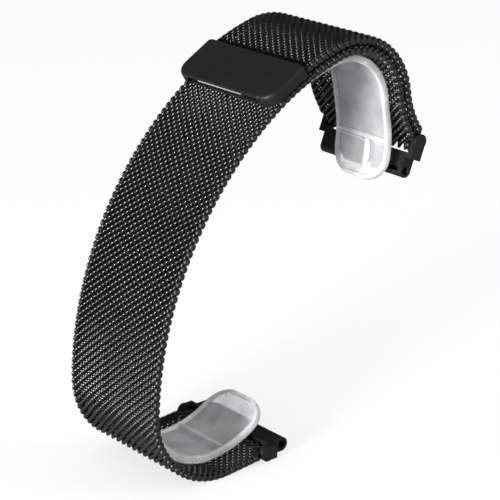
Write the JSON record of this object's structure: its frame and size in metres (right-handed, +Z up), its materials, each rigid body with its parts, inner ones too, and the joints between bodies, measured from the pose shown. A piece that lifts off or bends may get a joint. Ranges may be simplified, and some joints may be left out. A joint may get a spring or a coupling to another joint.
{
  "type": "watch bracelet",
  "caption": "Black woven steel mesh watch band with a magnetic folding clasp and hinged lug ends, standing in a C on its heel, with a clear plastic cuff inside",
  "frame": {"origin": "middle of the bounding box on the table, under the band", "axes": "X points to the open side of the C, Y runs across the band's width, Z is up"},
  "size_m": [0.0588, 0.0246, 0.069],
  "materials": {
    "black_mesh": "black coated woven steel wire",
    "black_steel": "black coated steel, satin",
    "bright_steel": "bright bare steel",
    "magnet": "nickel plated magnet",
    "clear_plastic": "clear, slightly milky plastic"
  },
  "bodies": {
    "foot": {"mesh_foot": "black_mesh", "cuff_foot": "clear_plastic"},
    "lower_lug": {"lower_lug_block": "black_steel", "lower_hinge_pin": "black_steel"},
    "heel_1": {"mesh_heel_1": "black_mesh", "cuff_heel_1": "clear_plastic"},
    "heel_2": {"mesh_heel_2": "black_mesh", "cuff_heel_2": "clear_plastic"},
    "back_1": {"mesh_back_1": "black_mesh", "cuff_back_1": "clear_plastic"},
    "back_2": {"mesh_back_2": "black_mesh", "cuff_back_2": "clear_plastic"},
    "back_3": {"mesh_back_3": "black_mesh", "cuff_back_3": "clear_plastic"},
    "back_4": {"mesh_back_4": "black_mesh", "cuff_back_4": "clear_plastic"},
    "seat": {"mesh_seat": "black_mesh", "tail_link_1": "black_mesh", "cuff_seat": "clear_plastic", "cuff_brow_1": "clear_plastic"},
    "brow_1": {"mesh_brow_1": "black_mesh", "tail_link_2": "black_mesh", "cuff_brow_2": "clear_plastic"},
    "brow_2": {"mesh_brow_2": "black_mesh", "tail_link_3": "black_mesh", "cuff_brow_3": "clear_plastic"},
    "fold": {"mesh_fold": "black_mesh", "cuff_tip": "clear_plastic"},
    "upper_lug": {"upper_lug_block": "black_steel", "upper_fold_bar": "black_steel"},
    "flap": {"tail_flap": "black_mesh"},
    "clasp": {"tail_end": "black_mesh", "tail_crimp": "black_steel", "clasp_cover": "black_steel", "clasp_floor": "black_steel", "clasp_keeper": "bright_steel", "clasp_magnet_1": "magnet", "clasp_magnet_2": "magnet"}
  },
  "joints": [
    {"name": "heel_flex_1", "type": "hinge", "parent": "foot", "child": "heel_1", "pos_m": [-0.02142, 0, 0.00227], "axis": [0, -1, 0], "range_deg": [0, 32]},
    {"name": "heel_flex_2", "type": "hinge", "parent": "heel_1", "child": "heel_2", "pos_m": [-0.02675, 0, 0.00733], "axis": [0, -1, 0], "range_deg": [0, 32]},
    {"name": "back_flex_1", "type": "hinge", "parent": "heel_2", "child": "back_1", "pos_m": [-0.02855, 0, 0.01446], "axis": [0, -1, 0], "range_deg": [0, 22]},
    {"name": "back_flex_2", "type": "hinge", "parent": "back_1", "child": "back_2", "pos_m": [-0.02671, 0, 0.02708], "axis": [0, -1, 0], "range_deg": [0, 12]},
    {"name": "back_flex_3", "type": "hinge", "parent": "back_2", "child": "back_3", "pos_m": [-0.02215, 0, 0.03899], "axis": [0, -1, 0], "range_deg": [0, 12]},
    {"name": "back_flex_4", "type": "hinge", "parent": "back_3", "child": "back_4", "pos_m": [-0.0151, 0, 0.04962], "axis": [0, -1, 0], "range_deg": [0, 12]},
    {"name": "seat_flex", "type": "hinge", "parent": "back_4", "child": "seat", "pos_m": [-0.0059, 0, 0.05845], "axis": [0, -1, 0], "range_deg": [0, 17]},
    {"name": "brow_flex_1", "type": "hinge", "parent": "seat", "child": "brow_1", "pos_m": [0.01535, 0, 0.06604], "axis": [0, -1, 0], "range_deg": [0, 15]},
    {"name": "brow_flex_2", "type": "hinge", "parent": "brow_1", "child": "brow_2", "pos_m": [0.02026, 0, 0.06281], "axis": [0, -1, 0], "range_deg": [0, 15]},
    {"name": "fold_flex", "type": "hinge", "parent": "brow_2", "child": "fold", "pos_m": [0.02268, 0, 0.05746], "axis": [0, -1, 0], "range_deg": [0, 14]},
    {"name": "lower_lug_hinge", "type": "hinge", "parent": "foot", "child": "lower_lug", "pos_m": [-0.00604, 0, 0.00156], "axis": [0, -1, 0], "range_deg": [-3, 34]},
    {"name": "upper_lug_hinge", "type": "hinge", "parent": "fold", "child": "upper_lug", "pos_m": [0.02726, 0, 0.04866], "axis": [0, -1, 0], "range_deg": [-15, 110]},
    {"name": "flap_peel", "type": "hinge", "parent": "seat", "child": "flap", "pos_m": [0.00901, 0, 0.0678], "axis": [0, 1, 0], "range_deg": [0, 50]},
    {"name": "clasp_bend", "type": "hinge", "parent": "flap", "child": "clasp", "pos_m": [0.00262, 0, 0.06552], "axis": [0, 1, 0], "range_deg": [0, 45]}
  ]
}
